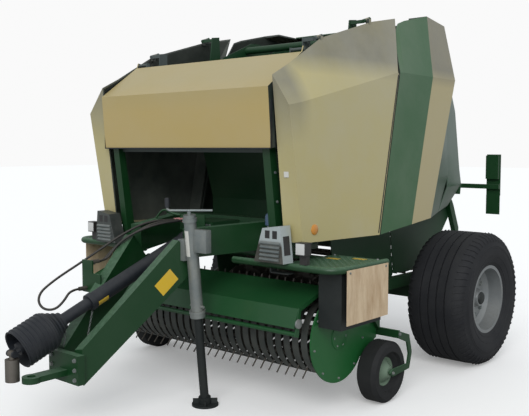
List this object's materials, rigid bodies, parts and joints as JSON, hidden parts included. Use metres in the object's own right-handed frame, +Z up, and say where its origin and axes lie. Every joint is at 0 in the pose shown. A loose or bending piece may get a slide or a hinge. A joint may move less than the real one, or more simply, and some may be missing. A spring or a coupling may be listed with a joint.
{
  "type": "round baler",
  "caption": "Fixed-chamber round baler with towing drawbar, pick-up reel, feed rotor, slat bale chamber, lifting tailgate, side hoods and parking jack.",
  "frame": {"origin": "on the ground, under the middle of the machine without its hoses", "axes": "+Y to the rear, +X to the machine's left, +Z up"},
  "size_m": [2.67, 4.3095, 2.765],
  "materials": {
    "tyre": "matt",
    "rim_silver": "satin",
    "machine_green": "gloss",
    "cover_cream": "satin",
    "cover_green": "satin",
    "worn_steel": "worn",
    "band_steel": "worn",
    "cylinder_paint": "gloss",
    "galvanised": "galvanised",
    "dark_steel": "worn",
    "guard_plastic": "matt",
    "lamp_plastic": "gloss",
    "board_paint": "faded",
    "hose_rubber": "matt"
  },
  "bodies": {
    "frame": {"axle_beam": "machine_green", "chamber_sides": "machine_green", "drawbar_arms": "machine_green", "frame_members": "machine_green", "front_conveyor": "worn_steel", "front_lamps": "lamp_plastic", "front_posts": "machine_green", "gearbox": "machine_green", "hitch_head": "machine_green", "hose_1": "hose_rubber", "hose_2": "hose_rubber", "hose_3": "hose_rubber", "hose_couplers": "worn_steel", "hose_holder": "machine_green", "jack_tube": "galvanised", "net_box": "machine_green", "platform_left": "machine_green", "platform_right": "machine_green", "rotor_housing": "machine_green", "side_casing": "machine_green", "top_frame": "machine_green", "warning_boards": "board_paint", "wheel_chocks": "galvanised"},
    "wheel_left": {"tyre_left": "tyre", "rim_left": "rim_silver"},
    "wheel_right": {"tyre_right": "tyre", "rim_right": "rim_silver"},
    "tailgate": {"tailgate_sides": "machine_green", "tailgate_conveyor": "worn_steel", "tailgate_rear_cover": "cover_green", "tailgate_cover_left": "cover_green", "tailgate_cover_right": "cover_green", "tailgate_braces": "machine_green", "rear_lamps": "machine_green"},
    "cylinder_left": {"cylinder_barrel_left": "cylinder_paint"},
    "cylinder_right": {"cylinder_barrel_right": "cylinder_paint"},
    "piston_left": {"cylinder_rod_left": "worn_steel"},
    "piston_right": {"cylinder_rod_right": "worn_steel"},
    "hood_left": {"side_hood_left": "cover_cream"},
    "hood_right": {"side_hood_right": "cover_cream"},
    "net_cover": {"front_cover": "cover_cream"},
    "pickup": {"pickup_sides": "machine_green", "pickup_bands": "band_steel", "pickup_frame": "machine_green", "gauge_arms": "machine_green"},
    "reel": {"tine_reel": "worn_steel"},
    "guard": {"wind_guard": "machine_green"},
    "small_wheel_left": {"gauge_wheel_left": "tyre"},
    "small_wheel_right": {"gauge_wheel_right": "tyre"},
    "rotor": {"feed_rotor": "worn_steel"},
    "jack": {"jack_leg": "dark_steel"},
    "shaft_rear": {"pto_rear_tube": "guard_plastic"},
    "shaft_front": {"pto_front_tube": "guard_plastic"},
    "yoke": {"pto_yoke": "worn_steel"}
  },
  "joints": [
    {"name": "wheel_left_spin", "type": "hinge", "parent": "frame", "child": "wheel_left", "pos_m": [1.085, 1.26475, 0.529], "axis": [1, 0, 0], "continuous": true},
    {"name": "wheel_right_spin", "type": "hinge", "parent": "frame", "child": "wheel_right", "pos_m": [-1.085, 1.26475, 0.529], "axis": [1, 0, 0], "continuous": true},
    {"name": "tailgate_lift", "type": "hinge", "parent": "frame", "child": "tailgate", "pos_m": [0, 0.68475, 2.54], "axis": [1, 0, 0], "range_deg": [0, 55]},
    {"name": "cylinder_left_swing", "type": "hinge", "parent": "frame", "child": "cylinder_left", "pos_m": [0.7, 0.41575, 1.46], "axis": [1, 0, 0], "range_deg": [-8, 8]},
    {"name": "cylinder_left_stroke", "type": "slide", "parent": "cylinder_left", "child": "piston_left", "axis": [0, 0.5101, 0.8601], "range_m": [-0.01, 0.3426]},
    {"name": "side_hood_left_lift", "type": "hinge", "parent": "frame", "child": "hood_left", "pos_m": [0.815, -0.85525, 2.3], "axis": [0, -0.9529, -0.3034], "range_deg": [0, 60]},
    {"name": "cylinder_right_swing", "type": "hinge", "parent": "frame", "child": "cylinder_right", "pos_m": [-0.7, 0.41575, 1.46], "axis": [1, 0, 0], "range_deg": [-8, 8]},
    {"name": "cylinder_right_stroke", "type": "slide", "parent": "cylinder_right", "child": "piston_right", "axis": [0, 0.5101, 0.8601], "range_m": [-0.01, 0.3426]},
    {"name": "side_hood_right_lift", "type": "hinge", "parent": "frame", "child": "hood_right", "pos_m": [-0.815, -0.85525, 2.3], "axis": [0, 0.9529, 0.3034], "range_deg": [0, 60]},
    {"name": "front_cover_lift", "type": "hinge", "parent": "frame", "child": "net_cover", "pos_m": [0, -0.51525, 2.37], "axis": [-1, 0, 0], "range_deg": [0, 70]},
    {"name": "pickup_lift", "type": "hinge", "parent": "frame", "child": "pickup", "pos_m": [0, 0.31475, 0.72], "axis": [-1, 0, 0], "range_deg": [0, 6.5]},
    {"name": "tine_reel_spin", "type": "hinge", "parent": "pickup", "child": "reel", "pos_m": [0, -0.43525, 0.5], "axis": [1, 0, 0], "continuous": true},
    {"name": "wind_guard_lift", "type": "hinge", "parent": "pickup", "child": "guard", "pos_m": [0, -0.23525, 0.8], "axis": [-1, 0, 0], "range_deg": [0, 3]},
    {"name": "gauge_wheel_left_spin", "type": "hinge", "parent": "pickup", "child": "small_wheel_left", "pos_m": [1.15, -0.06525, 0.212], "axis": [1, 0, 0], "continuous": true},
    {"name": "gauge_wheel_right_spin", "type": "hinge", "parent": "pickup", "child": "small_wheel_right", "pos_m": [-1.15, -0.06525, 0.212], "axis": [1, 0, 0], "continuous": true},
    {"name": "feed_rotor_spin", "type": "hinge", "parent": "frame", "child": "rotor", "pos_m": [0, 0.44475, 0.69], "axis": [1, 0, 0], "continuous": true},
    {"name": "jack_leg_slide", "type": "slide", "parent": "frame", "child": "jack", "axis": [0.033, -0.1328, 0.9906], "range_m": [0, 0.4]},
    {"name": "drive_shaft_lift", "type": "hinge", "parent": "frame", "child": "shaft_rear", "pos_m": [0, -0.78525, 1.1], "axis": [-1, 0, 0], "range_deg": [0, 20]},
    {"name": "drive_shaft_reach", "type": "slide", "parent": "shaft_rear", "child": "shaft_front", "axis": [-0.064, -0.9155, -0.3971], "range_m": [0, 0.2]},
    {"name": "yoke_swing", "type": "hinge", "parent": "shaft_front", "child": "yoke", "pos_m": [-0.09283, -2.11275, 0.52414], "axis": [-1, 0, 0], "range_deg": [0, 66]}
  ],
  "couplings": [
    {"joint": "cylinder_left_swing", "follows": "tailgate_lift", "ratio": -0.024},
    {"joint": "cylinder_left_stroke", "follows": "tailgate_lift", "m_per_rad": 0.34652},
    {"joint": "cylinder_right_swing", "follows": "tailgate_lift", "ratio": -0.024},
    {"joint": "cylinder_right_stroke", "follows": "tailgate_lift", "m_per_rad": 0.34652}
  ]
}
